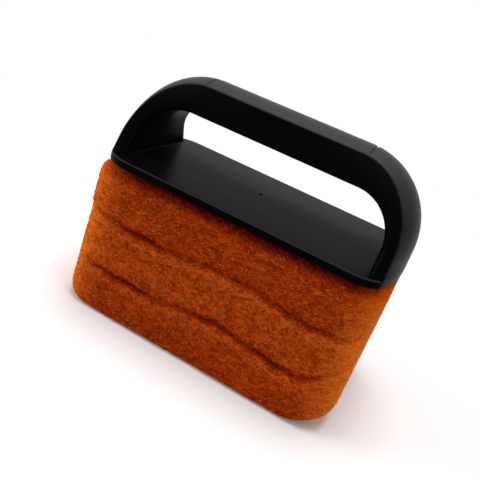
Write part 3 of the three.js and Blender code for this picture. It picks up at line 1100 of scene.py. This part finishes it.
def plastic_material():
    """Satin black with a painted sheen where the mesh's tone says, faint paler streaks along its
    length on upward faces, a painted light on the back of its upward faces, bands along the mould's
    flow that are a little glossier, and the mould's grain."""
    graph = Graph(bpy.data.materials.new("handle_plastic"))
    flow = graph.noise(60, (0.15, 1.0, 0.5), detail=3, roughness=0.5)
    painted_sheen = graph.add("ShaderNodeAttribute", attribute_name="tone").outputs["Fac"]
    along = graph.noise(350, (0.06, 1.0, 1.0), detail=3)
    streaks = graph.span(along, *STREAK_SPAN, -STREAK_WEAR, STREAK_WEAR)
    normal = graph.add("ShaderNodeNewGeometry").outputs["Normal"]
    upward = graph.span(graph.axis(normal, "Z"), *UPWARD_FACING)
    backward = graph.span(graph.axis(graph.place, "Y"), *LIT_BACK_SPAN)
    # Painted light: the back of upward faces is paler.
    lit_back = graph.calculate("MULTIPLY", backward, upward)
    # Painted sheen from the mesh's tone, with faint real streaks on upward faces.
    paleness = graph.calculate("MULTIPLY_ADD", streaks, upward, painted_sheen)
    plastic = graph.mix(paleness, PLASTIC_BLACK, PLASTIC_SHEEN)
    lit_plastic = graph.mix(lit_back, plastic, PLASTIC_LIT_BACK, "ADD")
    roughness = graph.span(flow, *NOISE_MIDDLE, *PLASTIC_ROUGHNESS)
    graph.feed(graph.shader, {"Base Color": lit_plastic, "Roughness": roughness, **PLASTIC_FINISH})
    graph.bump(graph.noise(1500, (0.6, 1, 1), detail=2), distance=0.00003, strength=0.6)
    return graph.owner


moulding.data.materials.append(plastic_material())
print("handle_moulding wears", moulding.data.materials[0].name)

# %% [markdown]
# ### Hook tape
#
# Under the plate lies a thin sheet of tiny black nylon hooks, which the web's fibres catch in. The
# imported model's own sheet has the right shape, so it stays, and only gets a finish: matt black, with
# a relief as fine as the hooks.

# %% Hook tape
HOOK_FINISH = {"Base Color": colour(16, 16, 16), "Roughness": 0.6}

hook_graph = Graph(bpy.data.materials.new("hook_tape"))
hook_graph.feed(hook_graph.shader, HOOK_FINISH)
hook_graph.bump(hook_graph.noise(1400, detail=1), distance=0.0004)
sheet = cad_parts["hook_sheet"]
sheet.data.materials.clear()
sheet.data.materials.append(hook_graph.owner)
print("hook_sheet wears", sheet.data.materials[0].name)

# %% [markdown]
# ## Floor
#
# The object was photographed on white. A white floor under lamps at a plain level comes out pale
# grey, and more light would bleach the object. So the floor has its plain colour where it takes
# the shadow, and further off the camera and reflections simply see it as white.

# %% Floor
FLOOR_SIZE = 12.0
FLOOR_CLEAR = (0.16, 0.42)
FLOOR_FINISH = {"Base Color": (0.9, 0.9, 0.9, 1), "Roughness": 1.0, "Specular IOR Level": 0.0}


def seen_rays(graph):
    """One for the rays that show a background: those from the camera, mirrors and glass."""
    path = graph.add("ShaderNodeLightPath")
    seen = path.outputs["Is Camera Ray"]
    for ray in ("Is Glossy Ray", "Is Transmission Ray"):
        seen = graph.calculate("MAXIMUM", seen, path.outputs[ray])
    return seen


def stage_floor():
    """A wide pale floor at zero, under the pad, which turns to plain white further off."""
    half = FLOOR_SIZE / 2 / MM
    corners = np.array([[-half, -half, 0], [half, -half, 0], [half, half, 0], [-half, half, 0]])
    floor = new_piece("floor", (corners, [np.array([[0, 1, 2, 3]])]))
    graph = Graph(bpy.data.materials.new("floor"))
    graph.feed(graph.shader, FLOOR_FINISH)
    length = graph.add("ShaderNodeVectorMath", operation="LENGTH")
    graph.feed(length, {0: graph.place})
    far = graph.span(length.outputs["Value"], *FLOOR_CLEAR)
    white = graph.add("ShaderNodeEmission", Color=(1, 1, 1, 1), Strength=1.0)
    blend = graph.add("ShaderNodeMixShader")
    seen = graph.calculate("MULTIPLY", far, seen_rays(graph))
    graph.feed(blend, {0: seen, 1: graph.shader.outputs[0], 2: white.outputs[0]})
    graph.feed(graph.tree.nodes["Material Output"], {"Surface": blend.outputs[0]})
    floor.data.materials.append(graph.owner)


stage_floor()
print("the floor is white from", FLOOR_CLEAR[1], "m on")

# %% [markdown]
# ## Light
#
# Three wide square lamps give the soft light of a small studio. The one above lights the grip's
# top and the plate, and two low ones, the left stronger than the right, light the pad's front and
# its ends. The room itself is white to look at and dimmer as a light.

# %% Lamps


def soft_light(name, place, aim, size, power):
    """A square lamp at a place, turned towards its aim."""
    data = bpy.data.lights.new(name, "AREA")
    data.shape = "SQUARE"
    data.size = size
    data.energy = power
    lamp = bpy.data.objects.new(name, data)
    lamp.location = place
    lamp.rotation_euler = (Vector(aim) - Vector(place)).to_track_quat("-Z", "Y").to_euler()
    bpy.context.scene.collection.objects.link(lamp)


soft_light("top_light", place=(0.0, 0.10, 1.1), aim=(0, 0, 0.05), size=0.6, power=8.5)
soft_light("right_light", place=(1.0, -0.5, 0.5), aim=(0, 0, 0.04), size=0.7, power=2.4)
soft_light("left_light", place=(-1.1, -0.35, 0.5), aim=(0, 0, 0.04), size=0.7, power=6.6)
print("lamps:", [light.name for light in bpy.data.lights])

# %% The room
ROOM_LEVEL = 0.42


def studio_world():
    """A pale even room: white for the rays that show a background, and dimmer as a light."""
    graph = Graph(bpy.data.worlds.new("studio"), "Background")
    strength = graph.span(seen_rays(graph), 0, 1, ROOM_LEVEL, 1)
    graph.feed(graph.shader, {"Color": (1, 1, 1, 1), "Strength": strength})
    bpy.context.scene.world = graph.owner


studio_world()
print("as a light, the room has a strength of", ROOM_LEVEL)

# %% [markdown]
# ## Finish
#
# The Standard view shows colours as they are written.

# %% Finish
bpy.context.scene.view_settings.view_transform = "Standard"
